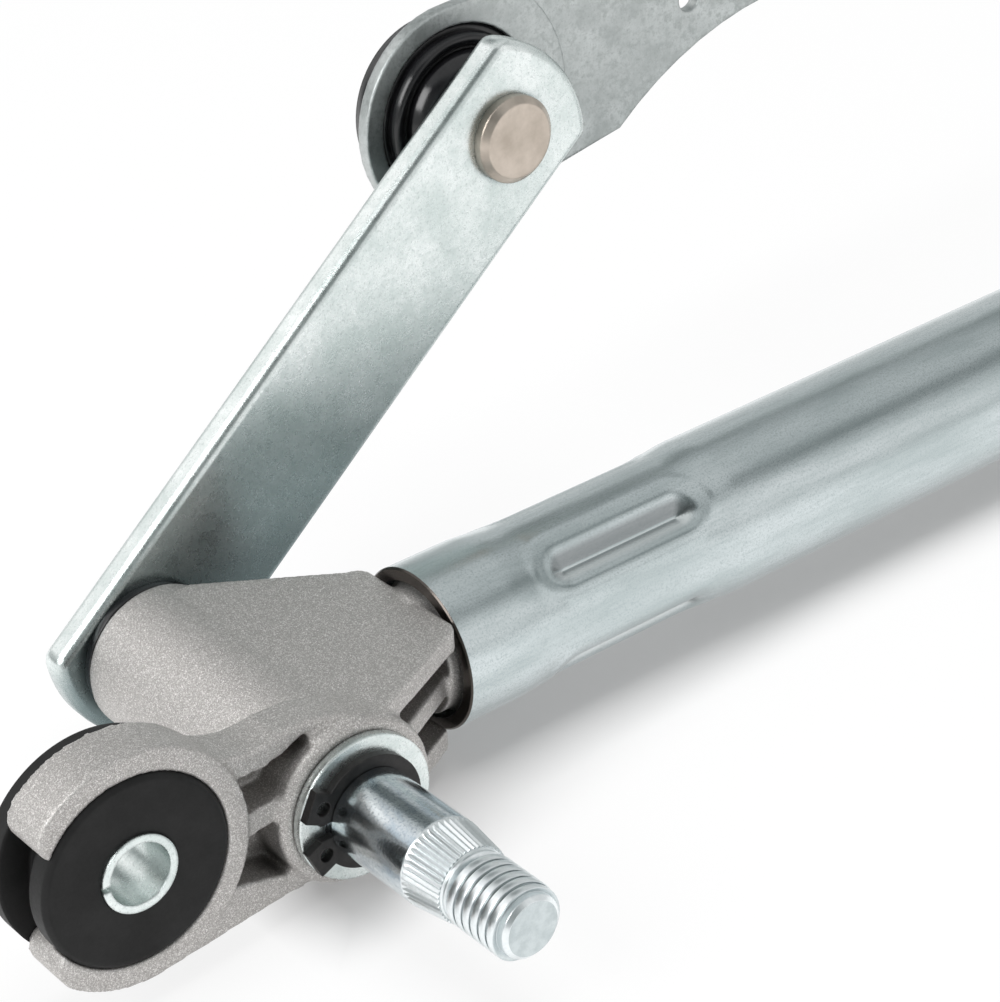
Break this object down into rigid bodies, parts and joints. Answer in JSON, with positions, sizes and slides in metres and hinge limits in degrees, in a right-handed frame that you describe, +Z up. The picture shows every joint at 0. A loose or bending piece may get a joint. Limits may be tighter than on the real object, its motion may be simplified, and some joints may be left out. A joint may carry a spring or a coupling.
{
  "type": "wiper linkage",
  "caption": "Windscreen wiper linkage: die-cast spindle housings crimped on a steel tube, parallel cranks with ball studs, a bowed link rod, a drive rod and a motor plate.",
  "frame": {"origin": "on the left spindle's axis at the root of its thread", "axes": "+X along the tube from the left spindle to the right one, -Y the way the spindles point, +Z up, the side to which the cranks rise"},
  "size_m": [0.6471, 0.1069, 0.1139],
  "materials": {
    "cast_aluminium": "sand-blasted die casting",
    "zinc_steel": "zinc plated",
    "tube_steel": "zinc plated, drawn",
    "rod_steel": "dull zinc plated sheet",
    "stud_steel": "nickel plated",
    "clip_steel": "black phosphate",
    "black_rubber": "matt",
    "black_plastic": "moulded",
    "bush_bronze": "sintered bronze"
  },
  "bodies": {
    "frame": {"cross_tube": "tube_steel", "left_housing": "cast_aluminium", "right_housing": "cast_aluminium", "left_front_bush": "bush_bronze", "left_rear_bush": "bush_bronze", "right_front_bush": "bush_bronze", "right_rear_bush": "bush_bronze", "left_grommet": "black_rubber", "right_grommet": "black_rubber", "left_sleeve": "zinc_steel", "right_sleeve": "zinc_steel", "motor_plate": "zinc_steel", "motor_grommet": "black_rubber", "motor_sleeve": "zinc_steel"},
    "left_lever": {"left_spindle": "zinc_steel", "left_crank": "zinc_steel", "left_ball_stud": "stud_steel", "left_washer": "zinc_steel", "left_circlip": "clip_steel", "left_thrust_washer": "black_plastic"},
    "right_lever": {"right_spindle": "zinc_steel", "right_crank": "zinc_steel", "right_ball_stud": "stud_steel", "right_drive_stud": "stud_steel", "right_washer": "zinc_steel", "right_circlip": "clip_steel", "right_thrust_washer": "black_plastic"},
    "link": {"link_rod": "rod_steel", "left_link_socket": "black_plastic", "right_link_socket": "black_plastic", "left_link_seal": "black_rubber", "right_link_seal": "black_rubber"},
    "drive": {"drive_rod": "rod_steel", "drive_crank_socket": "black_plastic", "drive_crank_seal": "black_rubber", "drive_motor_socket": "black_plastic"}
  },
  "joints": [
    {"name": "left_spindle_turn", "type": "hinge", "parent": "frame", "child": "left_lever", "pos_m": [0, 0, 0], "axis": [0, -1, 0], "range_deg": [0, 92]},
    {"name": "right_spindle_turn", "type": "hinge", "parent": "frame", "child": "right_lever", "pos_m": [0.52, 0, 0], "axis": [0, -1, 0], "range_deg": [0, 92]},
    {"name": "link_rod_turn", "type": "hinge", "parent": "left_lever", "child": "link", "pos_m": [0.06575, 0.086, 0.05324], "axis": [0, -1, 0], "range_deg": [-92, 0]},
    {"name": "drive_rod_turn", "type": "hinge", "parent": "right_lever", "child": "drive", "pos_m": [0.54953, 0.086, 0.02391], "axis": [0, -1, 0], "range_deg": [-92, 0]}
  ],
  "couplings": [
    {"joint": "right_spindle_turn", "follows": "left_spindle_turn", "ratio": 1},
    {"joint": "link_rod_turn", "follows": "left_spindle_turn", "ratio": -1},
    {"joint": "drive_rod_turn", "follows": "left_spindle_turn", "ratio": -1}
  ]
}
